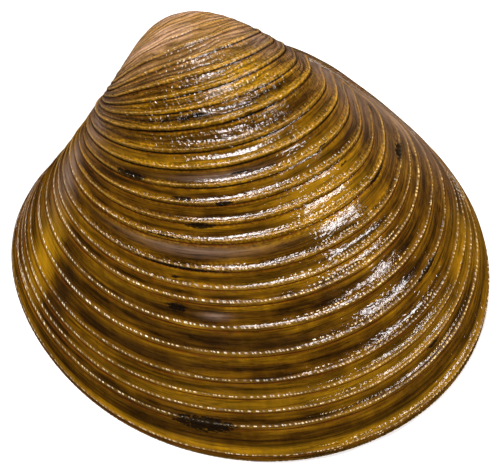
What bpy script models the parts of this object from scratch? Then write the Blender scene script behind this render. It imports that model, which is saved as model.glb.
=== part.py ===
# Asian clam shell: one left valve lying on its rim with the dome up.
# The rim lies in the plane z = 0. +Y is dorsal, towards the beak, and -X is the clam's front end.
# The outside is a logarithmic spiral: the margin's outline turns about the hinge axis while it shrinks
# towards the apex. A "stage" is that turn in radians, 0 at the margin. A "turn" is the place along the
# outline, 0 at the beak, 0.25 in front, 0.5 at the lower margin, 0.75 behind.
import math

import bmesh
import bpy
from mathutils import Vector
from mathutils.bvhtree import BVHTree

# Outline of the margin: mean radius, and its waves as shares of that radius by their count
OUTLINE_RADIUS = 0.01365
OUTLINE_COS_WAVES = {2: 0.0224, 3: -0.0398, 4: -0.0046, 5: 0.0142}
OUTLINE_SIN_WAVES = {2: -0.0194, 4: -0.0300, 6: 0.0048}
BEAK_DIRECTION = math.radians(87.5)

# Spiral growth about the hinge axis, which runs along X just above the margin at the beak
HINGE_GAP = 0.00041
GROWTH_RATE = 0.904
GROWTH_TIGHTENING = 0.033
BEAK_STAGE = 2.9

# Drift of the growth lines towards the margin at the two ends: reach in turns, and strengths
DRIFT_REACH = 0.3
DRIFT_LIMIT = 1.3
DRIFT_NEAR = 0.10
DRIFT_FAR = 0.35
DRIFT_FRONT = (-0.156, 0.283)
DRIFT_BACK = (0.047, 0.028)
DRIFT_BACK_END = (-1.84, 1.19)
DRIFT_MOST = 1.5
DRIFT_CALM_TURN = 0.12
DRIFT_FADE_STAGE = 1.4
DRIFT_UMBO = 0.62
DRIFT_UMBO_LIMIT = 0.35
DRIFT_UMBO_STAGES = (0.78, 1.25)
DRIFT_SAG = 0.033
DRIFT_SAG_TURN = 0.65
DRIFT_SAG_REACH = 0.06
DRIFT_SAG_STAGES = (0.55, 0.67)
DRIFT_LIFT = 0.05
DRIFT_LIFT_TURNS = (0.66, 0.72)
DRIFT_LIFT_STAGES = (0.42, 0.60)

# Concentric ribs: each crest's stage in degrees of turn about the hinge axis, from the margin up
RIB_CRESTS = (0.8, 4.1, 5.8, 7.4, 9.3, 12.5, 15.6, 18.8, 20.7, 23.2, 27.3, 30.1, 33.2, 36.2, 39.5,
              42.9, 47.8, 52.3, 56.4, 61.0, 66.7, 72.2, 78.5, 84.2)
RIB_HEIGHT_SHARE = 0.16
RIB_HEIGHT_MOST = 0.00026
SMOOTH_STAGE = 1.5
UMBO_WEAR_POWER = 4

# Wall, flat rim and hinge plate
WALL = 0.00110
RIM_WIDTH = 0.00150
HINGE_PLATE_WIDTH = 0.0030
HINGE_PLATE_REACH = 0.13
HINGE_PLATE_ROUNDING = 0.40
WALL_STEEPEST = 2.2

# Facets
COLUMNS = 40
CAVITY_RINGS = 12
UMBO_ROWS = 9
PROBE_HEIGHT = 0.05
SHAPE_STEP = 0.002
SHELL_COLOUR = (0.30, 0.17, 0.025, 1.0)


def clear_scene():
    for thing in list(bpy.data.objects):
        bpy.data.objects.remove(thing, do_unlink=True)


def outline(turn):
    angle = BEAK_DIRECTION + 2 * math.pi * turn
    share = 1.0
    for count, size in OUTLINE_COS_WAVES.items():
        share += size * math.cos(count * angle)
    for count, size in OUTLINE_SIN_WAVES.items():
        share += size * math.sin(count * angle)
    radius = OUTLINE_RADIUS * share
    return Vector((radius * math.cos(angle), radius * math.sin(angle), 0.0))


def apex():
    return outline(0.0) + Vector((0.0, HINGE_GAP, 0.0))


def ease(value, span):
    """0 before the span and 1 after it, with a soft start and end."""
    share = min(1.0, max(0.0, (value - span[0]) / (span[1] - span[0])))
    return share * share * (3.0 - 2.0 * share)


def drifted(stage, turn):
    """The angle about the hinge axis that a growth line of this stage has at this place."""
    if stage <= 0.0:
        return 0.0
    front = max(0.0, 0.5 - turn) / DRIFT_REACH
    back = max(0.0, turn - 0.5) / DRIFT_REACH
    front = DRIFT_LIMIT * math.tanh(front / DRIFT_LIMIT)
    back = DRIFT_LIMIT * math.tanh(back / DRIFT_LIMIT)
    near = 1.0 / (stage + DRIFT_NEAR)
    far = stage / (stage ** 2 + DRIFT_FAR ** 2)
    shift = front ** 2 * (DRIFT_FRONT[0] * near + DRIFT_FRONT[1] * far)
    shift += back ** 2 * (DRIFT_BACK[0] * near + DRIFT_BACK[1] * far)
    shift += back ** 6 * (DRIFT_BACK_END[0] * near + DRIFT_BACK_END[1] * far)
    pull = DRIFT_UMBO_LIMIT * math.tanh(front ** 4 / DRIFT_UMBO_LIMIT)
    shift -= DRIFT_UMBO * pull * ease(stage, DRIFT_UMBO_STAGES)
    sag = math.exp(-((turn - DRIFT_SAG_TURN) / DRIFT_SAG_REACH) ** 2)
    shift -= DRIFT_SAG * sag * (1.0 - ease(stage, DRIFT_SAG_STAGES))
    shift += DRIFT_LIFT * ease(turn, DRIFT_LIFT_TURNS) * ease(stage, DRIFT_LIFT_STAGES)
    calm = ease(min(turn % 1.0, -turn % 1.0), (0.0, DRIFT_CALM_TURN))
    shift *= calm / (1.0 + (stage / DRIFT_FADE_STAGE) ** 3)
    return stage * math.exp(DRIFT_MOST * math.tanh(shift / DRIFT_MOST))


def smooth_point(stage, turn):
    """The outside without its ribs."""
    angle = drifted(stage, turn)
    size = math.exp(-(GROWTH_RATE * angle + GROWTH_TIGHTENING * angle ** 3))
    arm = outline(turn) - apex()
    return apex() + Vector((size * arm.x, size * arm.y * math.cos(angle), -size * arm.y * math.sin(angle)))


def outward(stage, turn):
    """Unit normal of the smooth outside."""
    low = max(0.0, stage - SHAPE_STEP)
    along = smooth_point(stage, turn + SHAPE_STEP) - smooth_point(stage, turn - SHAPE_STEP)
    up = smooth_point(stage + SHAPE_STEP, turn) - smooth_point(low, turn)
    normal = along.cross(up)
    return normal.normalized() if normal.length > 0.0 else Vector((0.0, 0.0, 1.0))


def growth_speed(stage, turn):
    """Distance on the shell for one radian of stage."""
    low = max(0.0, stage - SHAPE_STEP)
    high = stage + SHAPE_STEP
    return (smooth_point(high, turn) - smooth_point(low, turn)).length / (high - low)


def rib_share(stage):
    """0 in a groove and 1 on a crest, and the spacing of the ribs there."""
    crests = [math.radians(crest) for crest in RIB_CRESTS]
    if stage >= crests[-1]:
        return 0.0, 0.0
    before = 0.0
    for crest in crests:
        if stage < crest:
            spacing = crest - before
            return 0.5 + 0.5 * math.cos(2 * math.pi * (crest - stage) / spacing), spacing
        before = crest
    return 0.0, 0.0


def rib_height(stage, turn):
    share, spacing = rib_share(stage)
    height = min(RIB_HEIGHT_MOST, RIB_HEIGHT_SHARE * spacing * growth_speed(stage, turn))
    at_margin = min(1.0, stage / math.radians(RIB_CRESTS[0]))
    worn = max(0.0, 1.0 - (stage / SMOOTH_STAGE) ** UMBO_WEAR_POWER)
    return height * share * at_margin * worn


def outer_point(stage, turn):
    return smooth_point(stage, turn) + outward(stage, turn) * rib_height(stage, turn)


def row_stages():
    """Stages of the facet rows: two at the lip of the margin, four to a rib, then the smooth umbo."""
    stages = [0.0]
    before = 0.0
    for crest in (math.radians(crest) for crest in RIB_CRESTS):
        shares = (0.25, 0.5, 0.75, 1.0) if before > 0.0 else (0.5, 1.0)
        stages += [before + share * (crest - before) for share in shares]
        before = crest
    step = (BEAK_STAGE - SMOOTH_STAGE) / UMBO_ROWS
    stages += [SMOOTH_STAGE + step * row for row in range(UMBO_ROWS + 1)]
    return stages


def column_turns():
    return [column / COLUMNS for column in range(COLUMNS)]


def loop_of(mesh, points):
    return [mesh.verts.new(point) for point in points]


def bridge(mesh, lower, upper):
    """A closed band of faces between two loops, facing away from the axis that they turn about."""
    for column, vert in enumerate(lower):
        following = (column + 1) % len(lower)
        mesh.faces.new((vert, lower[following], upper[following], upper[column]))


def smooth_outside():
    """Ray target of the outside without ribs."""
    mesh = bmesh.new()
    loops = []
    for stage in row_stages():
        loops.append(loop_of(mesh, [smooth_point(stage, turn) for turn in column_turns()]))
    for lower, upper in zip(loops, loops[1:]):
        bridge(mesh, lower, upper)
    tree = BVHTree.FromBMesh(mesh)
    mesh.free()
    return tree


def plate_weight(turn):
    """1 at the beak, fading out along the hinge on both sides."""
    distance = min(turn, 1.0 - turn) / HINGE_PLATE_REACH
    return math.exp(-distance ** 2)


def rim_inner_point(turn):
    edge = outline(turn)
    width = RIM_WIDTH + (HINGE_PLATE_WIDTH - RIM_WIDTH) * plate_weight(turn)
    return edge * (1.0 - width / edge.length)


def ceiling(tree, place):
    """Height of the cavity over a place, one wall thickness under the smooth outside."""
    hit, normal, _, _ = tree.ray_cast(Vector((place.x, place.y, PROBE_HEIGHT)), Vector((0.0, 0.0, -1.0)))
    if hit is None:
        return 0.0
    upright = max(abs(normal.z), 1.0 / WALL_STEEPEST)
    return max(0.0, hit.z - WALL / upright)


def cavity_point(tree, share, turn):
    """share runs from 0 at the rim's inner edge to 1 at the middle."""
    place = rim_inner_point(turn) * (1.0 - share)
    rounding = HINGE_PLATE_ROUNDING * plate_weight(turn) + 1.0 / CAVITY_RINGS
    rise = min(1.0, share / rounding)
    place.z = ceiling(tree, place) * math.sqrt(1.0 - (1.0 - rise) ** 2)
    return place


def left_valve():
    mesh = bmesh.new()
    turns = column_turns()
    outer = [loop_of(mesh, [outer_point(stage, turn) for turn in turns]) for stage in row_stages()]
    for lower, upper in zip(outer, outer[1:]):
        bridge(mesh, lower, upper)
    mesh.faces.new(outer[-1])

    tree = smooth_outside()
    inner = [loop_of(mesh, [cavity_point(tree, ring / CAVITY_RINGS, turn) for turn in turns])
             for ring in range(CAVITY_RINGS)]
    bridge(mesh, inner[0], outer[0])
    for lower, upper in zip(inner, inner[1:]):
        bridge(mesh, upper, lower)
    middle = mesh.verts.new(cavity_point(tree, 1.0, 0.5))
    for column, vert in enumerate(inner[-1]):
        mesh.faces.new((vert, middle, inner[-1][(column + 1) % COLUMNS]))

    bmesh.ops.recalc_face_normals(mesh, faces=mesh.faces)
    bmesh.ops.triangulate(mesh, faces=mesh.faces)
    return mesh


def shell_material():
    material = bpy.data.materials.new("glossy_periostracum")
    material.use_nodes = True
    shader = material.node_tree.nodes["Principled BSDF"]
    shader.inputs["Base Color"].default_value = SHELL_COLOUR
    shader.inputs["Roughness"].default_value = 0.28
    shader.inputs["Metallic"].default_value = 0.0
    return material


def centre_on_box(thing):
    """Puts the origin under the middle of the shell's box, with the rim at z = 0."""
    corners = [vert.co for vert in thing.verts]
    middle_x = 0.5 * (min(co.x for co in corners) + max(co.x for co in corners))
    middle_y = 0.5 * (min(co.y for co in corners) + max(co.y for co in corners))
    bmesh.ops.translate(thing, vec=(-middle_x, -middle_y, 0.0), verts=thing.verts)


def main():
    clear_scene()
    mesh = left_valve()
    centre_on_box(mesh)
    data = bpy.data.meshes.new("left_valve")
    mesh.to_mesh(data)
    mesh.free()
    data.shade_smooth()
    data.materials.append(shell_material())
    valve = bpy.data.objects.new("left_valve", data)
    bpy.context.scene.collection.objects.link(valve)


main()
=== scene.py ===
# Asian clam shell: one left valve lying on its rim, dome up, on a pale floor.
# The outside is a spiral. "stage" is the turn about the hinge axis in radians, 0 at the margin.
# "turn" is the place along the outline, 0 at the beak, 0.25 in front, 0.5 at the lower margin.
import math
import types

import bmesh
import bpy
import numpy as np
from mathutils import Matrix, Vector
from mathutils.bvhtree import BVHTree


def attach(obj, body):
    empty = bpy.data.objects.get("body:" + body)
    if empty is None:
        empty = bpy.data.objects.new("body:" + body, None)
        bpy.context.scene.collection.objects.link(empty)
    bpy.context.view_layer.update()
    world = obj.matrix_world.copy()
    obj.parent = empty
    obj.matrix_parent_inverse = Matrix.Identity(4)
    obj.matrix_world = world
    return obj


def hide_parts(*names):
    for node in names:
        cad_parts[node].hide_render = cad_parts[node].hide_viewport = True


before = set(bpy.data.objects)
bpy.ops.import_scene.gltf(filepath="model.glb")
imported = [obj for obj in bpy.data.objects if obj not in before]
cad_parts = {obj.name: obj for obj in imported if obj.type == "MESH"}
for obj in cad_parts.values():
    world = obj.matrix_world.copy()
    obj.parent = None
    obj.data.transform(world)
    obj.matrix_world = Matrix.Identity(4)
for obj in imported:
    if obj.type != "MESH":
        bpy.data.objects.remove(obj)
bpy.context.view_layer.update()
print("frame loaded")

# The shell's own numbers, in metres and radians

valveShape = {
    "radius": 0.01365,  # mean radius of the margin's outline, then its waves by their count
    "cosWaves": {2: 0.0224, 3: -0.0398, 4: -0.0046, 5: 0.0142},
    "sinWaves": {2: -0.0194, 4: -0.0300, 6: 0.0048},
    "beakDirection": math.radians(87.5),
    "hingeGap": 0.00041,
    "growthRate": 0.904,
    "growthTightening": 0.033,
    "beakStage": 2.9,
    "driftReach": 0.3,
    "driftLimit": 1.3,
    "driftNear": 0.10,
    "driftFar": 0.35,
    "driftFront": (-0.156, 0.283),
    "driftBack": (0.047, 0.028),
    "driftBackEnd": (-1.84, 1.19),
    "driftMost": 1.5,
    "driftCalmTurn": 0.12,
    "driftFadeStage": 1.4,
    "driftUmbo": 0.62,
    "driftUmboLimit": 0.35,
    "driftUmboStages": (0.78, 1.25),
    "driftSag": 0.033,
    "driftSagTurn": 0.65,
    "driftSagReach": 0.06,
    "driftSagStages": (0.55, 0.67),
    "driftLift": 0.05,
    "driftLiftTurns": (0.66, 0.72),
    "driftLiftStages": (0.42, 0.60),
}

ribShape = {
    "crests": (0.8, 4.1, 5.8, 7.4, 9.3, 12.5, 15.6, 18.8, 20.7, 23.2, 27.3, 30.1, 33.2, 36.2, 39.5,
               42.9, 47.8, 52.3, 56.4, 61.0, 66.7, 72.2, 78.5, 84.2),  # degrees of stage
    "heightShare": 0.15,  # of the spacing
    "heightMost": 0.00025,
    "broadPart": 0.34,  # the soft swell, the rest is the narrow ridge on it
    "ridgeUpper": 0.00014,  # the ridge's width towards the umbo
    "ridgeLower": 0.00009,  # and towards the margin, where it drops steeply
    "cords": {14: 1.8, 16: 2.1},  # two ribs stand out as rounded cords: their number and height
    "cordUpper": 0.00032,
    "cordLower": 0.00022,
    "upperMost": 0.40,  # neither side of a ridge takes more than these shares of the spacing
    "lowerMost": 0.20,
    "wornFrom": 1.5,
    "wornPower": 4,
    "backFade": 0.75,  # the ribs run out on the umbo's rear shoulder, from first to second place
    "backTurns": (0.60, 0.70),
    "backStages": (0.70, 0.95),
    "frontFade": 0.65,  # and lie flatter near the margin in front
    "frontTurns": (0.50, 0.38),
    "frontStages": (0.52, 0.36),
    "wobble": 0.000022,  # uneven growth along and across the ribs
    "wobbleSeed": 3,
    "wobbleCount": 24,
    "wobbleReach": (0.0030, 0.0007),
    "wobbleWorn": 0.35,
}

meshSteps = {
    "columns": 236,
    "crowding": 0.42,  # columns stand closer at the hinge
    "ribShares": (0.035, 0.08, 0.13, 0.19, 0.29, 0.44, 0.60, 0.75, 0.86, 0.93, 0.97, 1.0),
    "lipShares": (0.3, 0.6, 0.8, 1.0),
    "umboRows": 34,
    "insideRings": 54,
    "weld": 1e-7,
}

insideShape = {
    "wallEdge": 0.00075,  # wall thickness at the margin and in the middle
    "wallMiddle": 0.00110,
    "wallReach": 0.0050,
    "rim": 0.00045,  # flat edge that the valve rests on
    "hingeWidth": 0.0030,
    "hingeReach": 0.13,
    "rounding": 0.0022,
    "hingeRounding": 0.0050,
    "recess": 0.00085,  # the hinge plate lies this deep, so that its teeth stay above the rim
    "toothHeight": 0.00070,
    "toothWidth": 0.00030,
    "cardinals": (-33.0, -3.0, 27.0),  # degrees from straight down, fanning out below the beak
    "cardinalReach": (0.0008, 0.0031),
    "laterals": ((0.055, 0.155), (0.835, 0.945)),  # turns where the long side teeth run
    "lateralInset": 0.00125,
    "lateralFade": 0.015,
    "toothStart": 0.0003,  # lengths over which a tooth rises and runs out
    "toothEnd": 0.0006,
    "rimStep": 0.0004,  # from the rim down to the plate, and from the plate into the hollow
    "plateStep": 0.0006,
    "plateLap": 0.0003,
    "rayHeight": 0.05,  # well above the dome
    "steepest": 2.4,  # measured upright, the wall is at most so many times thicker on a steep side
    "crowding": 1.45,  # rings stand closer at the rim
}


def easing(value, low=0.0, high=1.0):
    share = np.clip((value - low) / (high - low), 0.0, 1.0)
    return share * share * (3 - 2 * share)


def outline(turn):
    angle = valveShape["beakDirection"] + 2 * np.pi * turn
    share = np.ones_like(angle)
    for count, size in valveShape["cosWaves"].items():
        share = share + size * np.cos(count * angle)
    for count, size in valveShape["sinWaves"].items():
        share = share + size * np.sin(count * angle)
    radius = valveShape["radius"] * share
    return radius * np.cos(angle), radius * np.sin(angle)


apexX, apexY = (float(value) for value in outline(np.array(0.0)))
apexY += valveShape["hingeGap"]


def drifted(stage, turn):
    # growth lines are drawn towards the margin at the front and at the back
    limit = valveShape["driftLimit"]
    front = limit * np.tanh(np.maximum(0.0, 0.5 - turn) / valveShape["driftReach"] / limit)
    back = limit * np.tanh(np.maximum(0.0, turn - 0.5) / valveShape["driftReach"] / limit)
    near = 1.0 / (stage + valveShape["driftNear"])
    far = stage / (stage ** 2 + valveShape["driftFar"] ** 2)
    shift = 0.0
    pulls = {"driftFront": front ** 2, "driftBack": back ** 2, "driftBackEnd": back ** 6}
    for name, reach in pulls.items():
        nearPart, farPart = valveShape[name]
        shift = shift + reach * (nearPart * near + farPart * far)
    bound = valveShape["driftUmboLimit"]
    pull = bound * np.tanh(front ** 4 / bound)
    shift -= valveShape["driftUmbo"] * pull * easing(stage, *valveShape["driftUmboStages"])
    sag = np.exp(-((turn - valveShape["driftSagTurn"]) / valveShape["driftSagReach"]) ** 2)
    shift -= valveShape["driftSag"] * sag * (1 - easing(stage, *valveShape["driftSagStages"]))
    shift += valveShape["driftLift"] * easing(turn, *valveShape["driftLiftTurns"]) \
        * easing(stage, *valveShape["driftLiftStages"])
    calm = easing(np.minimum(turn % 1.0, -turn % 1.0), 0.0, valveShape["driftCalmTurn"])
    shift *= calm / (1 + (stage / valveShape["driftFadeStage"]) ** 3)
    return stage * np.exp(valveShape["driftMost"] * np.tanh(shift / valveShape["driftMost"]))


def smoothPoint(stage, turn):
    angle = drifted(stage, turn)
    size = np.exp(-(valveShape["growthRate"] * angle + valveShape["growthTightening"] * angle ** 3))
    x, y = outline(turn)
    armX, armY = x - apexX, y - apexY
    return np.stack([apexX + size * armX,
                     apexY + size * armY * np.cos(angle),
                     -size * armY * np.sin(angle)], -1)


def length(vectors):
    return np.sqrt((vectors ** 2).sum(-1))


def outward(stage, turn, step=0.002):
    low = np.maximum(0.0, stage - step)
    along = smoothPoint(stage, turn + step) - smoothPoint(stage, turn - step)
    up = smoothPoint(stage + step, turn) - smoothPoint(low, turn)
    normal = np.cross(along, up)
    return normal / np.maximum(length(normal), 1e-15)[..., None]


def rowStages():
    # each row's stage, and the rows that the crests stand on, with the margin's row first
    crests = np.radians(ribShape["crests"])
    stages, crestRows, before = [0.0], [0], 0.0
    for crest in crests:
        for share in meshSteps["ribShares"] if before else meshSteps["lipShares"]:
            stages.append(before + share * (crest - before))
        crestRows.append(len(stages) - 1)
        before = crest
    climb = np.linspace(0.0, 1.0, meshSteps["umboRows"] + 1)[1:]
    stages += list(before + (valveShape["beakStage"] - before) * climb)
    return np.array(stages), np.array(crestRows)


def columnTurns():
    share = np.linspace(0.0, 1.0, meshSteps["columns"] + 1)
    return share - meshSteps["crowding"] * np.sin(2 * np.pi * share) / (2 * np.pi)


def waves(around, along, reachAround, reachAlong):
    # a smooth uneven field, mostly between -1 and 1, the same on each run
    dice = np.random.default_rng(ribShape["wobbleSeed"])
    field = np.zeros(np.broadcast(around, along).shape)
    for _ in range(ribShape["wobbleCount"]):
        first, second = dice.uniform(-1, 1, 2)
        cycle = first * around / reachAround + second * along / reachAlong + dice.uniform()
        field += np.sin(2 * np.pi * cycle)
    return field / math.sqrt(ribShape["wobbleCount"])


stages, crestRows = rowStages()
turns = columnTurns()
stageGrid, turnGrid = np.meshgrid(stages, turns, indexing="ij")
smoothGrid = smoothPoint(stageGrid, turnGrid)


def runUp(points):
    steps = length(np.diff(points, axis=0))
    return np.vstack([np.zeros(points.shape[1]), np.cumsum(steps, axis=0)])


def runAround(points):
    steps = length(np.diff(points, axis=1))
    run = np.hstack([np.zeros((points.shape[0], 1)), np.cumsum(steps, axis=1)])
    middle = np.array([np.interp(0.5, turns, row) for row in run])
    return run - middle[:, None]


upRun = runUp(smoothGrid)  # metres from the margin, up each column
aroundRun = runAround(smoothGrid)  # metres along each growth line from the lower margin's middle
middleColumn = int(np.argmin(np.abs(turns - 0.5)))
lineRun = upRun[:, middleColumn]  # metres up the middle: the same all along one growth line


def crestDistances():
    # for each band of faces: the crest row below it and the one above it
    bands = np.arange(len(stages) - 1)
    below = np.searchsorted(crestRows, bands, side="right") - 1
    above = np.minimum(below + 1, len(crestRows) - 1)
    return crestRows[below], crestRows[above], below < len(crestRows) - 1


belowRow, aboveRow, inRibs = crestDistances()


def ribHeights():
    bands = np.minimum(np.arange(len(stages)), len(belowRow) - 1)
    low, high = belowRow[bands], aboveRow[bands]
    above = upRun - upRun[low]
    below = upRun[high] - upRun
    spacing = np.maximum(upRun[high] - upRun[low], 1e-7)
    phase = np.clip(above / spacing, 0.0, 1.0)
    cordAt = {row: ribShape["cords"].get(rib - 1, 0.0) for rib, row in enumerate(crestRows)}
    lowCord = np.array([cordAt[row] for row in low])[:, None]
    highCord = np.array([cordAt[row] for row in high])[:, None]
    upper = np.where(lowCord > 0, ribShape["cordUpper"], ribShape["ridgeUpper"])
    upper = np.minimum(upper, ribShape["upperMost"] * spacing)
    lower = np.where(highCord > 0, ribShape["cordLower"], ribShape["ridgeLower"])
    lower = np.minimum(lower, ribShape["lowerMost"] * spacing)
    ridge = np.maximum(np.maximum(1.0, lowCord) * np.exp(-(above / upper) ** 2),
                       np.maximum(1.0, highCord) * np.exp(-(below / lower) ** 2))
    broad = 0.5 + 0.5 * np.cos(2 * np.pi * phase)
    height = np.minimum(ribShape["heightMost"], ribShape["heightShare"] * spacing)
    share = ribShape["broadPart"] * broad + (1 - ribShape["broadPart"]) * ridge
    margin = np.clip(stageGrid / math.radians(ribShape["crests"][0]), 0.0, 1.0)
    worn = np.clip(1.0 - (stageGrid / ribShape["wornFrom"]) ** ribShape["wornPower"], 0.0, 1.0)
    back = easing(turnGrid, *ribShape["backTurns"]) * easing(stageGrid, *ribShape["backStages"])
    front = easing(turnGrid, *ribShape["frontTurns"]) * easing(stageGrid, *ribShape["frontStages"])
    fade = (1 - ribShape["backFade"] * back) * (1 - ribShape["frontFade"] * front)
    relief = height * share * margin * worn * inRibs[bands][:, None] * fade
    uneven = waves(aroundRun, lineRun[:, None], *ribShape["wobbleReach"])
    kept = ribShape["wobbleWorn"] + (1 - ribShape["wobbleWorn"]) * worn
    return relief + ribShape["wobble"] * uneven * margin * kept


outerGrid = smoothGrid + outward(stageGrid, turnGrid) * ribHeights()[..., None]
outerGrid[:, -1] = outerGrid[:, 0]
outerGrid[..., 2] = np.maximum(outerGrid[..., 2], 0.0)
print("outside worked out:", outerGrid.shape)


# One closed mesh: two grids moved into place and welded

def addGrid(mesh, columns, rows, points, slot):
    made = bmesh.ops.create_grid(mesh, x_segments=columns, y_segments=rows, size=1.0, calc_uvs=True)
    verts = made["verts"]
    for vert in verts:
        column = round((vert.co.x + 1.0) * 0.5 * columns)
        row = round((vert.co.y + 1.0) * 0.5 * rows)
        vert.co = points[row, column]
    for face in {face for vert in verts for face in vert.link_faces}:
        face.material_index = slot
        face.smooth = True


def smoothTree():
    mesh = bmesh.new()
    mesh.loops.layers.uv.new("growth")
    addGrid(mesh, meshSteps["columns"], len(stages) - 1, smoothGrid, 0)
    tree = BVHTree.FromBMesh(mesh)
    mesh.free()
    return tree


def plateWeight(turn):
    return np.exp(-(np.minimum(turn, 1.0 - turn) / insideShape["hingeReach"]) ** 2)


def toothShare(x, y, turn, inset):
    # 0 on the bare hinge plate and 1 on top of a tooth
    share = np.zeros_like(x)
    start, end = insideShape["cardinalReach"]
    for angle in np.radians(insideShape["cardinals"]):
        wayX, wayY = math.sin(angle), -math.cos(angle)
        run = (x - apexX) * wayX + (y - apexY) * wayY
        off = np.hypot(x - apexX - run * wayX, y - apexY - run * wayY)
        window = easing((run - start) / insideShape["toothStart"])
        window = window * easing((end - run) / insideShape["toothEnd"])
        share = np.maximum(share, np.exp(-(off / insideShape["toothWidth"]) ** 2) * window)
    for first, last in insideShape["laterals"]:
        fade = insideShape["lateralFade"]
        window = easing((turn - first) / fade) * easing((last - turn) / fade)
        off = (inset - insideShape["lateralInset"]) / insideShape["toothWidth"]
        share = np.maximum(share, np.exp(-off ** 2) * window)
    return share


def insidePoints():
    tree = smoothTree()
    edgeX, edgeY = outline(turns)
    radius = np.hypot(edgeX, edgeY)
    inward = np.linspace(0.0, 1.0, meshSteps["insideRings"] + 1) ** insideShape["crowding"]
    inset = inward[:, None] * radius[None, :]
    x = edgeX[None, :] * (1 - inward[:, None])
    y = edgeY[None, :] * (1 - inward[:, None])
    weight = plateWeight(turns)[None, :] * np.ones_like(x)
    wall = insideShape["wallEdge"] + (insideShape["wallMiddle"] - insideShape["wallEdge"]) \
        * easing(inset / insideShape["wallReach"])
    roof = np.zeros_like(x)
    down = Vector((0.0, 0.0, -1.0))
    for ring in range(x.shape[0]):
        for column in range(x.shape[1]):
            spot = Vector((x[ring, column], y[ring, column], insideShape["rayHeight"]))
            hit, normal, _, _ = tree.ray_cast(spot, down)
            if hit is not None:
                upright = max(abs(normal.z), 1.0 / insideShape["steepest"])
                roof[ring, column] = max(0.0, hit.z - wall[ring, column] / upright)
    rim, recess, lap = insideShape["rim"], insideShape["recess"] * weight, insideShape["plateLap"]
    plate = rim + (insideShape["hingeWidth"] - rim) * weight
    rounding = insideShape["rounding"]
    rounding = rounding + (insideShape["hingeRounding"] - rounding) * weight
    rise = np.clip((inset - plate) / rounding, 0.0, 1.0)
    cavity = roof * np.sqrt(1 - (1 - rise) ** 2)
    dip = recess * easing((inset - rim) / insideShape["rimStep"])
    teeth = toothShare(x, y, turns[None, :] * np.ones_like(x), inset)
    dip = np.clip(dip - insideShape["toothHeight"] * weight * teeth, 0.0, None)
    dip = dip * (1 - easing((inset - plate) / insideShape["plateStep"]))
    floor = recess * easing((inset - plate + lap) / insideShape["plateStep"])
    height = np.maximum(cavity, np.where(inset > plate - lap, np.maximum(floor, dip), dip))
    height = np.minimum(height, np.maximum(roof, recess))
    height[0] = 0.0
    height[:, -1] = height[:, 0]
    return np.stack([x, y, height], -1)


def centre(mesh):
    # the origin goes under the middle of the shell's box
    corners = np.array([vert.co for vert in mesh.verts])
    middle = (corners.min(0) + corners.max(0)) * 0.5
    bmesh.ops.translate(mesh, vec=(-middle[0], -middle[1], 0.0), verts=mesh.verts)


def buildValve():
    mesh = bmesh.new()
    mesh.loops.layers.uv.new("growth")
    columns = meshSteps["columns"]
    addGrid(mesh, columns, len(stages) - 1, outerGrid, 0)
    addGrid(mesh, columns, meshSteps["insideRings"], insidePoints(), 1)
    bmesh.ops.remove_doubles(mesh, verts=mesh.verts, dist=meshSteps["weld"])
    edges = [edge for edge in mesh.edges if edge.is_boundary]
    cap = bmesh.ops.contextual_create(mesh, geom=edges, mat_nr=0, use_smooth=True)
    bmesh.ops.poke(mesh, faces=cap["faces"])
    bmesh.ops.recalc_face_normals(mesh, faces=mesh.faces)
    centre(mesh)
    data = bpy.data.meshes.new("valve")
    mesh.to_mesh(data)
    openEdges = sum(1 for edge in mesh.edges if not edge.is_manifold)
    print("valve:", len(data.vertices), "points,", openEdges, "open edges")
    mesh.free()
    return data


# Growth maps that the skin's pattern follows

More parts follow.
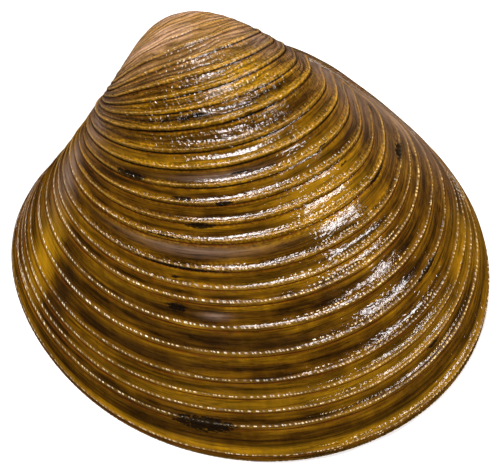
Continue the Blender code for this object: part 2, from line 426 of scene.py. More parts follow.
skinPatches = {
    # stage, turn, reach in stage, reach in turn, strength
    "stain": ((0.067, 0.402, 0.016, 0.026, 1.0), (0.092, 0.597, 0.005, 0.007, 0.9),
              (0.303, 0.381, 0.009, 0.012, 1.0), (0.375, 0.382, 0.005, 0.006, 0.9),
              (0.399, 0.388, 0.004, 0.050, 1.0), (0.465, 0.636, 0.005, 0.024, 1.0),
              (0.515, 0.415, 0.009, 0.018, 1.0), (0.575, 0.448, 0.007, 0.012, 1.0),
              (0.590, 0.400, 0.007, 0.018, 0.8), (0.637, 0.328, 0.013, 0.024, 1.0),
              (0.410, 0.695, 0.014, 0.018, 0.9), (0.215, 0.625, 0.008, 0.022, 0.9),
              (0.475, 0.375, 0.004, 0.040, 0.7), (0.655, 0.480, 0.005, 0.020, 0.8),
              (0.662, 0.34, 0.004, 0.10, 0.7), (0.795, 0.53, 0.006, 0.07, 0.9),
              (0.872, 0.40, 0.006, 0.09, 0.9), (0.876, 0.445, 0.009, 0.022, 1.0),
              (0.560, 0.605, 0.004, 0.008, 0.9), (0.630, 0.592, 0.004, 0.006, 0.9)),
    "bloom": ((0.48, 0.212, 0.13, 0.022, 1.0), (0.76, 0.235, 0.12, 0.032, 0.9),
              (0.295, 0.418, 0.006, 0.012, 1.0), (0.447, 0.400, 0.010, 0.070, 0.8),
              (0.98, 0.20, 0.26, 0.070, 0.9), (0.72, 0.74, 0.26, 0.060, 1.0),
              (1.05, 0.72, 0.22, 0.060, 1.0), (1.12, 0.635, 0.13, 0.040, 0.8),
              (0.45, 0.79, 0.30, 0.060, 0.9), (0.655, 0.45, 0.010, 0.05, 0.5)),
    "gold": ((0.22, 0.232, 0.13, 0.017, 1.0), (0.022, 0.45, 0.010, 0.25, 0.6),
             (0.118, 0.50, 0.022, 0.18, 0.55), (0.07, 0.72, 0.10, 0.05, 0.4),
             (0.13, 0.69, 0.05, 0.04, 0.5), (0.50, 0.57, 0.06, 0.06, 0.6),
             (0.70, 0.42, 0.018, 0.20, 0.5), (0.56, 0.57, 0.03, 0.06, 0.7),
             (0.63, 0.57, 0.02, 0.06, 0.7), (0.84, 0.50, 0.018, 0.20, 0.45),
             (0.98, 0.55, 0.13, 0.06, 0.8), (0.36, 0.50, 0.014, 0.10, 0.5)),
    "shade": ((0.200, 0.264, 0.12, 0.012, 1.0), (0.185, 0.340, 0.014, 0.07, 0.9),
              (0.235, 0.450, 0.018, 0.07, 0.7), (0.250, 0.360, 0.014, 0.08, 0.6),
              (0.300, 0.350, 0.020, 0.08, 0.5), (0.440, 0.390, 0.020, 0.09, 0.5),
              (0.060, 0.330, 0.020, 0.09, 0.6), (0.305, 0.560, 0.010, 0.07, 0.4),
              (0.650, 0.380, 0.014, 0.12, 0.7), (0.575, 0.400, 0.012, 0.06, 0.6),
              (0.790, 0.450, 0.014, 0.20, 0.8), (0.880, 0.420, 0.014, 0.18, 0.9),
              (0.590, 0.660, 0.012, 0.05, 0.5), (0.500, 0.680, 0.010, 0.04, 0.4),
              (0.450, 0.850, 0.90, 0.110, 0.9)),
    "wornFrom": 0.98,
    "wornFull": 1.55,
    "noCrest": 9.0,  # millimetres, laid where no crest is near
}


def patchField(patches, stage, turn):
    field = np.zeros_like(stage)
    for atStage, atTurn, reachStage, reachTurn, strength in patches:
        away = ((stage - atStage) / reachStage) ** 2 + ((turn - atTurn) / reachTurn) ** 2
        field = np.maximum(field, strength * np.exp(-away))
    return field


def layGrowthMaps(data):
    rows = len(stages) - 1
    columns = meshSteps["columns"]
    count = len(data.loops)
    raw = np.zeros(count * 2, np.float32)
    growth = data.uv_layers["growth"]
    growth.uv.foreach_get("vector", raw)
    raw = raw.reshape(-1, 2)
    faceSlot = np.zeros(len(data.polygons), np.int32)
    data.polygons.foreach_get("material_index", faceSlot)
    starts = np.zeros(len(data.polygons), np.int32)
    data.polygons.foreach_get("loop_start", starts)
    sizes = np.zeros(len(data.polygons), np.int32)
    data.polygons.foreach_get("loop_total", sizes)
    slot = np.repeat(faceSlot, sizes)
    faceOf = np.repeat(np.arange(len(sizes)), sizes)
    column = np.clip(np.rint(raw[:, 0] * columns).astype(int), 0, columns)
    row = np.clip(np.rint(raw[:, 1] * rows).astype(int), 0, rows)
    lowest = np.minimum.reduceat(row, starts)
    band = np.minimum(lowest[faceOf], rows - 1)
    up, around, line = upRun * 1000, aroundRun * 1000, lineRun * 1000  # in millimetres
    above = up[row, column] - up[belowRow[band], column]
    below = up[aboveRow[band], column] - up[row, column]
    plain = ~inRibs[band] | (slot == 1)
    above = np.where(plain, skinPatches["noCrest"], above)
    below = np.where(plain, skinPatches["noCrest"], below)
    stage = stages[row]
    turn = turns[column]
    maps = {
        "growth": np.stack([turn, stage], 1),
        "rib": np.stack([above, below], 1),
        "millimetres": np.stack([around[row, column], line[row]], 1),
    }
    for name, values in maps.items():
        layer = growth if name == "growth" else data.uv_layers.new(name=name)
        layer.uv.foreach_set("vector", values.astype(np.float32).ravel())
    tones = data.color_attributes.new(name="tones", type="FLOAT_COLOR", domain="CORNER")
    stain, bloom, gold, shade = (patchField(skinPatches[name], stage, turn)
                                 for name in ("stain", "bloom", "gold", "shade"))
    worn = easing(stage, skinPatches["wornFrom"], skinPatches["wornFull"])
    values = np.stack([stain, bloom, worn, gold - shade], 1)
    tones.data.foreach_set("color", values.astype(np.float32).ravel())
    print("growth maps laid on", count, "corners")


# Small helpers for shader nodes

def srgb(red, green, blue):
    # from a picture's values to light
    parts = [value / 255 for value in (red, green, blue)]
    return tuple(p / 12.92 if p <= 0.04045 else ((p + 0.055) / 1.055) ** 2.4 for p in parts) + (1.0,)


def put(tree, kind, values, **settings):
    node = tree.nodes.new(kind)
    for name, value in settings.items():
        setattr(node, name, value)
    for name, value in values.items():
        if isinstance(value, bpy.types.NodeSocket):
            tree.links.new(value, node.inputs[name])
        else:
            node.inputs[name].default_value = value
    return node


def calc(tree, operation, first, second=0.0, third=0.0, clamp=False):
    values = {0: first, 1: second}
    if operation == "MULTIPLY_ADD":
        values[2] = third
    return put(tree, "ShaderNodeMath", values, operation=operation, use_clamp=clamp).outputs[0]


def blend(tree, factor, first, second, mode="MIX"):
    values = {0: factor, 6: first, 7: second}
    return put(tree, "ShaderNodeMix", values, data_type="RGBA", blend_type=mode).outputs[2]


def spread(tree, value, low, high, toLow=0.0, toHigh=1.0, smooth=False):
    kind = "SMOOTHSTEP" if smooth else "LINEAR"
    values = {"Value": value, "From Min": low, "From Max": high, "To Min": toLow, "To Max": toHigh}
    return put(tree, "ShaderNodeMapRange", values, interpolation_type=kind).outputs[0]


def ramp(tree, factor, stops):
    node = put(tree, "ShaderNodeValToRGB", {0: factor})
    elements = node.color_ramp.elements
    while len(elements) < len(stops):
        elements.new(0.5)
    for element, (place, colour) in zip(elements, stops):
        element.position = place
        element.color = colour
    return node.outputs[0]


def bell(tree, distance, width):
    # 1 at no distance, fading to 0 over the width
    share = calc(tree, "DIVIDE", distance, width)
    square = calc(tree, "MULTIPLY", share, share)
    return calc(tree, "POWER", math.exp(-1.0), square)


def stretched(tree, x, y, perX, perY, shift):
    # a flat pattern coordinate whose grain is perX by perY millimetres
    first = calc(tree, "DIVIDE", x, perX)
    second = calc(tree, "DIVIDE", y, perY)
    return put(tree, "ShaderNodeCombineXYZ", {0: first, 1: second, 2: shift}).outputs[0]


def noise(tree, vector, detail, roughness, distortion):
    values = {"Vector": vector, "Scale": 1.0, "Detail": detail, "Roughness": roughness,
              "Distortion": distortion}
    return put(tree, "ShaderNodeTexNoise", values).outputs[0]


# The outside: glossy horny skin over the ribs

skinLook = {
    "umber": srgb(38, 21, 2),
    "brown": srgb(70, 43, 3),
    "olive": srgb(98, 65, 4),
    "ochre": srgb(118, 82, 5),
    "golden": srgb(156, 113, 10),
    # painted shadow: the dark line at the foot under each crest, darker under the older, corded ribs
    "lipShadow": srgb(60, 25, 3),
    "cordShadow": srgb(20, 10, 3),
    # the crest's lighter line, also given to the ticks: partly the ridge's paler tone, partly painted
    # highlight
    "crest": srgb(166, 122, 38),
    # pale beads: painted glints, partly the beads' own paler colour
    "bead": srgb(246, 228, 186),
    "beadGlintBehind": srgb(236, 200, 126),
    # painted shade: the thin orange-brown line under each crest's lip
    "orangeLipShade": srgb(112, 56, 8),
    "shade": srgb(40, 24, 6),
    "stain": srgb(8, 6, 5),
    "bloom": srgb(114, 90, 72),
    "worn": srgb(148, 110, 60),
    "wornPink": srgb(178, 140, 108),
    "roughness": 0.12,
    "shine": 0.45,
    "coat": 0.25,
    "coatRoughness": 0.07,
    "bloomDulls": 0.30,  # what each adds to the roughness
    "wornDulls": 0.04,
    "fleckDulls": 0.22,
    "layers": {
        # the band's colours from its darkest tone to its brightest
        "bandStops": {"umber": 0.0, "brown": 0.25, "olive": 0.50, "ochre": 0.72, "golden": 1.0},
        # how strongly each layer covers what lies under it
        "goldPatch": 0.85,
        "shadePatch": 0.85,
        "stain": 0.92,
        "check": 0.75,
        # painted shadow at each crest's foot
        "footShadow": 1.25,
        # the crest line: partly paler tone, partly painted highlight
        "crest": 0.7,
        "ticks": 0.3,
        # painted highlight on the umbo's fold tops and painted shade at their feet
        "foldTop": 0.60,
        "foldFootShade": -0.50,
        # raised lumps lighter, the rest darker: partly speckled tone, partly painted glints
        "lumpSpeckleAndGlint": 0.75,
        "lumpMiddle": 0.45,
        "umboZone": 0.7,
        "umboLumps": 0.38,
        "streakSway": (1.5, -0.87),  # strength and shift of the streaks in the band's tone
        "bandSway": 0.12,
        "cloudSway": 1.5,
        "goldRagged": (1.6, 0.2),  # the streaks break up each patch: strength and shift
        "shadeRagged": (-1.8, -0.1),
        "bloomRagged": (1.6, 0.2),
        "wornRagged": (1.4, 0.35),
        "stainRagged": (3.4, 1.0),
    },
    "relief": {
        # in millimetres, and slants in beads for each millimetre across
        "beadPitch": 0.24,
        "beadUneven": 0.95,  # a share
        "beadHeight": 0.034,
        "foldBeadHeight": 0.017,
        "crestSlant": 0.6,
        "secondSlant": -1.7,
        "tickSlant": 0.4,
        "foldSlant": 0.9,
        "tickHeight": 0.022,
        "wrinkleHeight": 0.035,
        "lineHeight": 0.004,
        "fleckHeight": 0.002,
        "foldPitch": 0.46,
        "foldBend": 4.5,  # in folds
        "foldHeight": 0.016,
        "nickHeight": 0.034,
        "lumpHeight": 0.022,
        "crestWidth": 0.07,
        "beadRowWidth": 0.055,
        "secondRowAt": 0.25,
        "secondRowWidth": 0.050,
        "footShadowShare": 0.10,  # the painted shadow at the foot lies below a crest by this share of the band
        "footShadowAt": 0.075,  # and this much more
        "footShadowWidth": (0.030, 0.038),
        # painted shade: the orange-brown line under each crest's lip, its place and width
        "orangeLipShadeAt": 0.075,
        "orangeLipShadeWidth": 0.05,
    },
    "grain": {
        # millimetres along and across the growth lines, shift, detail, roughness, distortion
        "streaks": (5.0, 0.32, 0.0, 5.0, 0.62, 0.0),
        "lines": (5.0, 0.075, 4.0, 3.0, 0.65, 0.0),
        "clouds": (3.2, 1.5, 9.0, 4.0, 0.6, 0.0),
        "rays": (0.55, 7.0, 14.0, 3.0, 0.6, 0.0),
        "flecks": (0.36, 0.16, 19.0, 3.0, 0.7, 0.0),
        "wrinkles": (0.34, 0.24, 27.0, 1.0, 0.5, 0.6),
        "bends": (4.0, 1.6, 71.0, 2.0, 0.5, 0.0),
        "nicks": (0.26, 0.60, 55.0, 1.0, 0.5, 0.0),
        "lumps": (0.20, 0.18, 61.0, 0.5, 0.5, 0.0),
        "scores": (7.0, 0.30, 47.0, 3.0, 0.6, 0.0),
        "gaps": (1.3, 0.5, 41.0, 2.0, 0.6, 0.0),
    },
    "steps": {
        # where an effect starts and where it is full, then its strengths there if not 0 and 1
        # by the place in the band between two crests, 0 at the lower one and 1 at the upper one
        "bandFoot": (0.34, 0.16),
        "bandTop": (0.60, 0.80),
        "lumpFoot": (0.22, 0.08),
        "lumpTop": (0.74, 0.90),
        "swellTop": (0.35, 0.85, 0.32, 0.66),
        "swellFoot": (0.0, 0.30, 0.12, 0.0),
        # by millimetres from a crest
        "between": (0.36, 0.24),
        "dullCrest": (0.16, 0.06),
        # by stage
        "umbo": (0.62, 0.90),
        "bandStage": (0.22, 0.50, 0.12, 1.0),
        "lumpStage": (0.26, 0.50, 0.15, 1.0),
        "older": (0.40, 0.68),
        "footShadowStage": (1.1, 1.45, 1.0, 0.5),
        "crestStage": (0.25, 0.50, 0.45, 1.0),
        "young": (0.32, 0.58, 1.0, 0.18),
        "tickStage": (0.45, 0.62, 0.15, 1.0),
        "dullStage": (0.50, 0.40),
        "beadStage": (0.40, 1.0, 1.0, 0.4),
        # by turn
        "lumpTurn": (0.40, 0.50, 0.80, 1.0),
        "wrinkleTurn": (0.44, 0.50, 0.7, 1.35),
        "beadsFrom": (0.16, 0.21),
        "beadsTo": (0.77, 0.70),
        "behindFrom": (0.45, 0.52),
        "behindTo": (0.68, 0.60),
        "beadGlintTint": (0.46, 0.56),
        "checkFrom": (0.23, 0.27),
        "checkTo": (0.70, 0.64),
        # by a pattern's value
        "lumps": (0.42, 0.62),
        "gaps": (0.38, 0.58, 0.15, 1.0),
        "patchy": (0.38, 0.60, 0.25, 1.0),
        "lineTint": (0.32, 0.60, 0.80, 1.09),
        "rayTint": (0.3, 0.7, 0.82, 1.14),
        "bloomTint": (0.32, 0.60, 0.60, 1.12),
        "wornTint": (0.32, 0.60, 0.70, 1.12),
        "wornClouds": (0.42, 0.62),
        "scores": (0.035, 0.004),
        "scoreWorn": (0.0, 0.8, 1.0, 0.4),
        "scoreTint": (0.0, 1.0, 1.06, 0.50),
        "foldTop": (0.35, 0.95),
        "foldTopFlecks": (0.38, 0.58, 0.2, 1.0),
        "foldFootShade": (-0.55, -0.98),
        "footShadowStreaks": (0.35, 0.6, 0.5, 1.0),
        # flecks in the painted orange-brown shade line under each lip
        "orangeLipShadeFlecks": (0.42, 0.58, 0.0, 0.7),
        "beadRound": (0.08, 0.48, 1.0, 0.0),
        "beads": (0.45, 0.75),
        "stain": (0.34, 0.52),
        "dullFlecks": (0.62, 0.42, 0.0, 0.26),
        "coatFlecks": (0.36, 0.50, 0.3, 1.0),
        "coatWrinkles": (0.40, 0.54, 0.1, 1.0),
        "wrinkleClouds": (0.38, 0.62, 0.35, 1.2),
        "nicks": (0.42, 0.62),
    },
    "check": {
        # dark parallel lines just inside the margin: ten times the stage, and the strength there
        "reach": 10.0,
        "lines": ((0.28, 0.0), (0.33, 1.0), (0.37, 0.2), (0.42, 0.8),
                  (0.46, 0.15), (0.49, 0.6), (0.53, 0.0)),
    },
}


def soft(tree, value, step):
    return spread(tree, value, *skinLook["steps"][step], smooth=True)


def straight(tree, value, step):
    return spread(tree, value, *skinLook["steps"][step])


def times(tree, first, second, clamp=False):
    return calc(tree, "MULTIPLY", first, second, clamp=clamp)


def scaled(tree, value, factor, base):
    return calc(tree, "MULTIPLY_ADD", value, factor, base)


def apart(tree, value, place):
    return calc(tree, "ABSOLUTE", calc(tree, "SUBTRACT", value, place))


def tint(tree, colour, value):
    # the colour made darker or lighter by a pattern
    grey = put(tree, "ShaderNodeCombineColor", {0: value, 1: value, 2: value}).outputs[0]
    return blend(tree, 1.0, colour, grey, "MULTIPLY")


def beadPattern(tree, skin, slant):
    # a slanting row of small beads, 1 on top of each
    relief = skinLook["relief"]
    cell = scaled(tree, skin.line, slant, calc(tree, "DIVIDE", skin.around, relief["beadPitch"]))
    values = {"W": cell, "Scale": 1.0, "Randomness": relief["beadUneven"]}
    bead = put(tree, "ShaderNodeTexVoronoi", values, voronoi_dimensions="1D").outputs["Distance"]
    return soft(tree, bead, "beadRound")


def readMaps(tree):
    # the piece's growth maps and tones
    def flatMap(name):
        corner = put(tree, "ShaderNodeUVMap", {}, uv_map=name).outputs[0]
        parts = put(tree, "ShaderNodeSeparateXYZ", {0: corner}).outputs
        return parts[0], parts[1]

    skin = types.SimpleNamespace()
    skin.above, skin.below = flatMap("rib")
    skin.around, skin.line = flatMap("millimetres")
    skin.turn, skin.stage = flatMap("growth")
    tones = put(tree, "ShaderNodeAttribute", {}, attribute_name="tones")
    parts = put(tree, "ShaderNodeSeparateColor", {0: tones.outputs["Color"]}).outputs
    skin.stain, skin.bloom, skin.worn = parts[0], parts[1], parts[2]
    skin.gold = tones.outputs["Alpha"]
    return skin


def addPatterns(tree, skin):
    # patterns drawn out along the growth lines
    relief = skinLook["relief"]
    for name, (along, across, shift, *kind) in skinLook["grain"].items():
        spot = stretched(tree, skin.around, skin.line, along, across, shift)
        setattr(skin, name, noise(tree, spot, *kind))
    skin.lumps = soft(tree, skin.lumps, "lumps")
    skin.gaps = soft(tree, skin.gaps, "gaps")
    cycle = calc(tree, "DIVIDE", skin.line, relief["foldPitch"])
    cycle = scaled(tree, skin.bends, relief["foldBend"], cycle)
    skin.folds = calc(tree, "SINE", times(tree, cycle, 2 * math.pi))


def ragged(tree, skin, patch, name):
    # a patch broken up by the streaks
    return times(tree, patch, scaled(tree, skin.streaks, *skinLook["layers"][name]), clamp=True)


def bothEnds(tree, skin, footShadow, top):
    # the lower and the upper part of each band
    return calc(tree, "MAXIMUM", soft(tree, skin.phase, footShadow), soft(tree, skin.phase, top))


def addMasks(tree, skin):
    layers = skinLook["layers"]
    skin.total = calc(tree, "MAXIMUM", calc(tree, "ADD", skin.above, skin.below), 0.001)
    skin.phase = calc(tree, "DIVIDE", skin.above, skin.total)
    skin.nearest = calc(tree, "MINIMUM", skin.above, skin.below)
    skin.patchy = straight(tree, skin.flecks, "patchy")
    skin.umbo = soft(tree, skin.stage, "umbo")
    zone = bothEnds(tree, skin, "bandFoot", "bandTop")
    zone = times(tree, zone, soft(tree, skin.stage, "bandStage"))
    skin.zone = calc(tree, "MAXIMUM", zone, times(tree, skin.umbo, layers["umboZone"]))
    lumpy = bothEnds(tree, skin, "lumpFoot", "lumpTop")
    lumpy = times(tree, lumpy, soft(tree, skin.stage, "lumpStage"))
    lumpy = times(tree, lumpy, soft(tree, skin.turn, "lumpTurn"))
    skin.lumpy = calc(tree, "MAXIMUM", lumpy, times(tree, skin.umbo, layers["umboLumps"]))
    skin.bloomShare = ragged(tree, skin, skin.bloom, "bloomRagged")
    skin.wornShare = ragged(tree, skin, skin.worn, "wornRagged")
    # the fold tops, where highlight is painted and small beads stand
    foldTop = times(tree, soft(tree, skin.folds, "foldTop"), skin.umbo)
    skin.foldTop = times(tree, foldTop, straight(tree, skin.flecks, "foldTopFlecks"))


def addBeads(tree, skin):
    # one row on each crest, a second one above it behind the middle, and ticks across between them
    relief = skinLook["relief"]
    skin.crestBeads = beadPattern(tree, skin, relief["crestSlant"])
    firstRow = times(tree, skin.crestBeads, bell(tree, skin.nearest, relief["beadRowWidth"]))
    behind = times(tree, soft(tree, skin.turn, "behindFrom"), soft(tree, skin.turn, "behindTo"))
    second = apart(tree, skin.above, relief["secondRowAt"])
    secondRow = bell(tree, second, relief["secondRowWidth"])
    secondRow = times(tree, beadPattern(tree, skin, relief["secondSlant"]), secondRow)
    secondRow = times(tree, secondRow, times(tree, behind, skin.gaps))
    between = times(tree, soft(tree, skin.above, "between"), behind)
    between = times(tree, between, soft(tree, skin.stage, "tickStage"))
    skin.ticks = times(tree, beadPattern(tree, skin, relief["tickSlant"]), between)
    skin.beads = calc(tree, "MAXIMUM", firstRow, secondRow)


def paintBands(tree, skin):
    layers = skinLook["layers"]
    sway = scaled(tree, skin.streaks, *layers["streakSway"])
    sway = scaled(tree, skin.zone, layers["bandSway"], sway)
    sway = scaled(tree, calc(tree, "SUBTRACT", skin.clouds, 0.5), layers["cloudSway"], sway)
    swell = soft(tree, skin.phase, "swellTop")
    swell = calc(tree, "ADD", swell, straight(tree, skin.phase, "swellFoot"))
    tone = calc(tree, "ADD", swell, sway, clamp=True)
    stops = [(place, skinLook[name]) for name, place in layers["bandStops"].items()]
    band = ramp(tree, tone, stops)
    share = times(tree, ragged(tree, skin, skin.gold, "goldRagged"), layers["goldPatch"])
    band = blend(tree, share, band, skinLook["golden"])
    share = times(tree, ragged(tree, skin, skin.gold, "shadeRagged"), layers["shadePatch"])
    band = blend(tree, share, band, skinLook["shade"])
    band = tint(tree, band, straight(tree, skin.lines, "lineTint"))
    band = tint(tree, band, straight(tree, skin.rays, "rayTint"))
    # lighter on the raised lumps, darker between: partly speckled tone, partly painted glints
    speckleAndGlint = times(tree, calc(tree, "SUBTRACT", skin.lumps, layers["lumpMiddle"]), skin.zone)
    return tint(tree, band, scaled(tree, speckleAndGlint, layers["lumpSpeckleAndGlint"], 1.0))


def paintUmbo(tree, skin, band):
    # bloomed places, the worn umbo with its scored lines, and the folds on it, with painted highlight
    # on their tops and painted shade at their feet
    layers = skinLook["layers"]
    bloomTint = tint(tree, skinLook["bloom"], straight(tree, skin.lines, "bloomTint"))
    band = blend(tree, skin.bloomShare, band, bloomTint)
    share = straight(tree, skin.clouds, "wornClouds")
    wornTint = blend(tree, share, skinLook["worn"], skinLook["wornPink"])
    wornTint = tint(tree, wornTint, straight(tree, skin.lines, "wornTint"))
    band = blend(tree, skin.wornShare, band, wornTint)
    scores = straight(tree, apart(tree, skin.scores, 0.5), "scores")
    scored = times(tree, scores, straight(tree, skin.worn, "scoreWorn"))
    band = tint(tree, band, straight(tree, scored, "scoreTint"))
    # painted highlight on the fold tops and painted shade at their feet
    foldFootShade = times(tree, soft(tree, skin.folds, "foldFootShade"), skin.umbo)
    band = tint(tree, band, scaled(tree, skin.foldTop, layers["foldTop"], 1.0))
    return tint(tree, band, scaled(tree, foldFootShade, layers["foldFootShade"], 1.0))


def paintCrests(tree, skin, band):
    # painted shade under each crest, a thin orange-brown line and a dark line at its foot, then the
    # crest's lighter line, partly painted highlight, and its pale beads, partly painted glints
    relief = skinLook["relief"]
    layers = skinLook["layers"]
    # painted shadow: a dark line at the foot under each crest, where the lip's shade falls
    footShadow = scaled(tree, skin.total, relief["footShadowShare"], relief["footShadowAt"])
    older = soft(tree, skin.stage, "older")
    footShadowWidth = scaled(tree, older, *relief["footShadowWidth"])
    share = bell(tree, apart(tree, skin.below, footShadow), footShadowWidth)
    share = times(tree, share, straight(tree, skin.streaks, "footShadowStreaks"))
    share = times(tree, share, straight(tree, skin.stage, "footShadowStage"))
    footShadowTint = blend(tree, older, skinLook["lipShadow"], skinLook["cordShadow"])
    # painted shade: a thin orange-brown line under the lip
    orangeLipShade = apart(tree, calc(tree, "SUBTRACT", skin.below, footShadow), relief["orangeLipShadeAt"])
    orangeLipShade = bell(tree, orangeLipShade, relief["orangeLipShadeWidth"])
    orangeLipShade = times(tree, orangeLipShade, straight(tree, skin.flecks, "orangeLipShadeFlecks"))
    band = blend(tree, orangeLipShade, band, skinLook["orangeLipShade"])
    band = blend(tree, times(tree, share, layers["footShadow"], clamp=True), band, footShadowTint)
    # the crest's lighter line: partly the ridge's paler tone, partly painted highlight
    crest = times(tree, bell(tree, skin.nearest, relief["crestWidth"]),
                  times(tree, skin.patchy, layers["crest"]))
    crest = times(tree, crest, straight(tree, skin.stage, "crestStage"))
    band = blend(tree, crest, band, skinLook["crest"])

    # pale beads: painted glints, partly the beads' own paler colour
    young = soft(tree, skin.stage, "young")
    reach = times(tree, soft(tree, skin.turn, "beadsFrom"), soft(tree, skin.turn, "beadsTo"))
    beads = times(tree, soft(tree, skin.beads, "beads"), times(tree, young, skin.patchy))
    beads = times(tree, beads, times(tree, reach, skin.gaps))
    share = straight(tree, skin.turn, "beadGlintTint")
    beadGlintTint = blend(tree, share, skinLook["bead"], skinLook["beadGlintBehind"])
    band = blend(tree, beads, band, beadGlintTint)
    # ticks in the crest's colour: partly paler tone, partly painted highlight
    ticks = times(tree, skin.ticks, times(tree, skin.patchy, layers["ticks"]))
    return blend(tree, ticks, band, skinLook["crest"])


def paintMarks(tree, skin, band):
    # ragged dark stains and the growth check
    layers = skinLook["layers"]
    torn = scaled(tree, calc(tree, "SUBTRACT", skin.flecks, 0.5), *layers["stainRagged"])
    stain = soft(tree, times(tree, skin.stain, torn), "stain")
    band = blend(tree, times(tree, stain, layers["stain"]), band, skinLook["stain"])
    stops = [(place, (value, value, value, 1.0)) for place, value in skinLook["check"]["lines"]]
    check = ramp(tree, times(tree, skin.stage, skinLook["check"]["reach"]), stops)
    span = times(tree, soft(tree, skin.turn, "checkFrom"), soft(tree, skin.turn, "checkTo"))
    share = times(tree, times(tree, check, span), layers["check"])
    return blend(tree, share, band, skinLook["umber"])


def setGloss(tree, skin, shader):
    dull = scaled(tree, skin.bloomShare, skinLook["bloomDulls"], skinLook["roughness"])
    dull = scaled(tree, skin.wornShare, skinLook["wornDulls"], dull)
    dull = scaled(tree, calc(tree, "SUBTRACT", skin.flecks, 0.5), skinLook["fleckDulls"], dull)
    crest = times(tree, soft(tree, skin.nearest, "dullCrest"), soft(tree, skin.stage, "dullStage"))
    dull = scaled(tree, crest, straight(tree, skin.flecks, "dullFlecks"), dull)
    tree.links.new(dull, shader.inputs["Roughness"])
    full = skinLook["coat"]
    coat = calc(tree, "MULTIPLY_ADD", skin.bloomShare, -full, full, clamp=True)
    coat = times(tree, coat, straight(tree, skin.flecks, "coatFlecks"))
    coat = times(tree, coat, straight(tree, skin.wrinkles, "coatWrinkles"))
    tree.links.new(coat, shader.inputs["Coat Weight"])
    shader.inputs["Coat Roughness"].default_value = skinLook["coatRoughness"]
    shader.inputs["Specular IOR Level"].default_value = skinLook["shine"]


def setRelief(tree, skin, shader):
    # in millimetres: beads, ticks, wrinkled skin, lines, and the umbo's folds, lumps and nicks
    relief = skinLook["relief"]
    beadHeight = times(tree, straight(tree, skin.stage, "beadStage"), relief["beadHeight"])
    beadRow = times(tree, skin.crestBeads, bell(tree, skin.nearest, relief["beadRowWidth"]))
    height = times(tree, calc(tree, "MAXIMUM", skin.beads, beadRow), beadHeight)
    height = scaled(tree, skin.ticks, relief["tickHeight"], height)
    rumpled = times(tree, straight(tree, skin.clouds, "wrinkleClouds"), relief["wrinkleHeight"])
    rumpled = times(tree, rumpled, soft(tree, skin.turn, "wrinkleTurn"))
    height = scaled(tree, skin.wrinkles, rumpled, height)
    height = scaled(tree, skin.lines, relief["lineHeight"], height)
    height = scaled(tree, skin.flecks, relief["fleckHeight"], height)
    height = scaled(tree, times(tree, skin.folds, skin.umbo), relief["foldHeight"], height)
    foldBeads = times(tree, beadPattern(tree, skin, relief["foldSlant"]), skin.foldTop)
    height = scaled(tree, foldBeads, relief["foldBeadHeight"], height)
    height = scaled(tree, times(tree, skin.lumps, skin.lumpy), relief["lumpHeight"], height)
    nicks = times(tree, straight(tree, skin.nicks, "nicks"), relief["nickHeight"])
    height = calc(tree, "ADD", height, times(tree, nicks, skin.umbo))
    bump = put(tree, "ShaderNodeBump", {"Height": height, "Strength": 1.0, "Distance": 0.001})
    tree.links.new(bump.outputs[0], shader.inputs["Normal"])


def skinMaterial():
    material = bpy.data.materials.new("glossySkin")
    material.use_nodes = True
    tree = material.node_tree
    shader = tree.nodes["Principled BSDF"]
    skin = readMaps(tree)
    addPatterns(tree, skin)
    addMasks(tree, skin)
    addBeads(tree, skin)
    colour = paintBands(tree, skin)
    colour = paintUmbo(tree, skin, colour)
    colour = paintCrests(tree, skin, colour)
    colour = paintMarks(tree, skin, colour)
    tree.links.new(colour, shader.inputs["Base Color"])
    setGloss(tree, skin, shader)
    setRelief(tree, skin, shader)
    return material


# The inside: porcelain white with a faint violet breath

pearlLook = {
    "white": srgb(236, 232, 224),
    "cream": srgb(226, 214, 196),
    "violet": srgb(190, 178, 206),
    "cloudScale": 160.0,
    "creamFrom": (0.35, 0.65),
    "violetScale": 70.0,
    "violetFrom": (0.5, 0.7, 0.0, 0.55),
    "roughness": (0.3, 0.7, 0.17, 0.32),
    "coat": 0.25,
    "bumpDepth": 0.00003,
}


def pearlMaterial():
    material = bpy.data.materials.new("porcelainInside")
    material.use_nodes = True
    tree = material.node_tree
    shader = tree.nodes["Principled BSDF"]
    spot = put(tree, "ShaderNodeTexCoord", {}).outputs["Object"]
    values = {"Vector": spot, "Scale": pearlLook["cloudScale"], "Detail": 4.0}
    clouds = put(tree, "ShaderNodeTexNoise", values).outputs[0]
    values = {"Vector": spot, "Scale": pearlLook["violetScale"], "Detail": 2.0}
    violet = put(tree, "ShaderNodeTexNoise", values).outputs[0]
    share = spread(tree, clouds, *pearlLook["creamFrom"])
    colour = blend(tree, share, pearlLook["white"], pearlLook["cream"])
    share = spread(tree, violet, *pearlLook["violetFrom"])
    colour = blend(tree, share, colour, pearlLook["violet"])
    tree.links.new(colour, shader.inputs["Base Color"])
    rough = spread(tree, clouds, *pearlLook["roughness"])
    tree.links.new(rough, shader.inputs["Roughness"])
    shader.inputs["Coat Weight"].default_value = pearlLook["coat"]
    values = {"Height": clouds, "Strength": 1.0, "Distance": pearlLook["bumpDepth"]}
    bump = put(tree, "ShaderNodeBump", values)
    tree.links.new(bump.outputs[0], shader.inputs["Normal"])
    return material


valveMesh = buildValve()
valveMesh.materials.append(skinMaterial())
valveMesh.materials.append(pearlMaterial())
layGrowthMaps(valveMesh)
valve = bpy.data.objects.new("valveDressed", valveMesh)
bpy.context.scene.collection.objects.link(valve)
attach(valve, "root")
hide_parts("left_valve")
print("valve dressed")


# Floor, light and camera

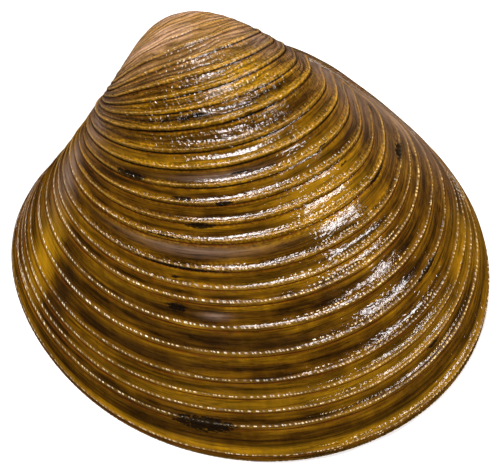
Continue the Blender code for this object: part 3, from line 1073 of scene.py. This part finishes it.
stageLook = {
    "floorSize": 4.0,
    "floorColour": srgb(240, 240, 238),
    "floorRoughness": 0.7,
    "floorShine": 0.2,
    "skyColour": srgb(244, 244, 244),
    "skySeen": 1.0,  # the sky's strength where it is seen, as light and in reflections
    "skyLight": 0.50,
    "skyShine": 0.015,
    "lampColour": (1.0, 0.965, 0.985),
    # each lamp's direction, the way its long side runs, distance, size, power
    # and whether it shows in the gloss
    "lamps": {
        "upper": ((0.06, 0.57, 0.82), (0.0, -0.82, 0.57), 0.42, (0.17, 0.16), 2.40, True),
        "lower": ((0.60, -0.37, 0.71), (0.81, 0.36, -0.47), 0.42, (0.20, 0.065), 1.15, True),
        "fill": ((-0.6, -0.7, 0.55), (0.6, -0.7, 0.0), 0.50, (0.20, 0.20), 0.70, False),
    },
    "cameraTurn": -38.0,
    "cameraRise": 67.0,
    "cameraRoll": 15.08,
    "cameraAway": 0.2457,
    "aim": (0.00035, -0.001016, 0.004095),
    "sensor": 36.0,
    "lens": 298.2,
    "shift": (-0.02502, -0.01111),
}


def addFloor():
    mesh = bmesh.new()
    bmesh.ops.create_grid(mesh, x_segments=1, y_segments=1, size=stageLook["floorSize"] / 2)
    data = bpy.data.meshes.new("floor")
    mesh.to_mesh(data)
    mesh.free()
    material = bpy.data.materials.new("paleFloor")
    material.use_nodes = True
    shader = material.node_tree.nodes["Principled BSDF"]
    shader.inputs["Base Color"].default_value = stageLook["floorColour"]
    shader.inputs["Roughness"].default_value = stageLook["floorRoughness"]
    shader.inputs["Specular IOR Level"].default_value = stageLook["floorShine"]
    data.materials.append(material)
    floor = bpy.data.objects.new("floor", data)
    bpy.context.scene.collection.objects.link(floor)
    floor.visible_glossy = False


def addLamp(name, way, along, away, size, power, shines):
    lamp = bpy.data.lights.new(name, "AREA")
    lamp.shape = "RECTANGLE"
    lamp.size, lamp.size_y = size
    lamp.energy = power
    lamp.color = stageLook["lampColour"]
    direction = Vector(way).normalized()
    across = direction.cross(Vector(along)).normalized()
    place = Matrix((across.cross(direction), across, direction)).transposed().to_4x4()
    place.translation = direction * away
    thing = bpy.data.objects.new(name, lamp)
    thing.matrix_world = place
    thing.visible_glossy = shines
    bpy.context.scene.collection.objects.link(thing)


def addSky():
    world = bpy.data.worlds.new("studio")
    bpy.context.scene.world = world
    world.use_nodes = True
    tree = world.node_tree
    background = tree.nodes["Background"]
    background.inputs["Color"].default_value = stageLook["skyColour"]
    rays = put(tree, "ShaderNodeLightPath", {}).outputs
    light, shine = stageLook["skyLight"], stageLook["skyShine"]
    strength = spread(tree, rays["Is Glossy Ray"], 0.0, 1.0, light, shine)
    seen = times(tree, rays["Is Camera Ray"], stageLook["skySeen"])
    strength = calc(tree, "MAXIMUM", strength, seen)
    tree.links.new(strength, background.inputs["Strength"])


def addCamera():
    angles = [stageLook[name] for name in ("cameraTurn", "cameraRise", "cameraRoll")]
    turn, rise, roll = (math.radians(angle) for angle in angles)
    back = Vector((math.sin(turn) * math.cos(rise), -math.cos(turn) * math.cos(rise), math.sin(rise)))
    level = Vector((math.cos(turn), math.sin(turn), 0.0))
    upright = back.cross(level)
    right = level * math.cos(roll) + upright * math.sin(roll)
    up = upright * math.cos(roll) - level * math.sin(roll)
    camera = bpy.data.objects.new("camera", bpy.data.cameras.new("camera"))
    place = Matrix((right, up, back)).transposed().to_4x4()
    place.translation = Vector(stageLook["aim"]) + back * stageLook["cameraAway"]
    camera.matrix_world = place
    camera.data.sensor_width = stageLook["sensor"]
    camera.data.lens = stageLook["lens"]
    camera.data.shift_x, camera.data.shift_y = stageLook["shift"]
    bpy.context.scene.collection.objects.link(camera)
    bpy.context.scene.camera = camera


addFloor()
for name, numbers in stageLook["lamps"].items():
    addLamp(name, *numbers)
addSky()
addCamera()
bpy.context.scene.view_settings.view_transform = "Standard"
print("stage set")
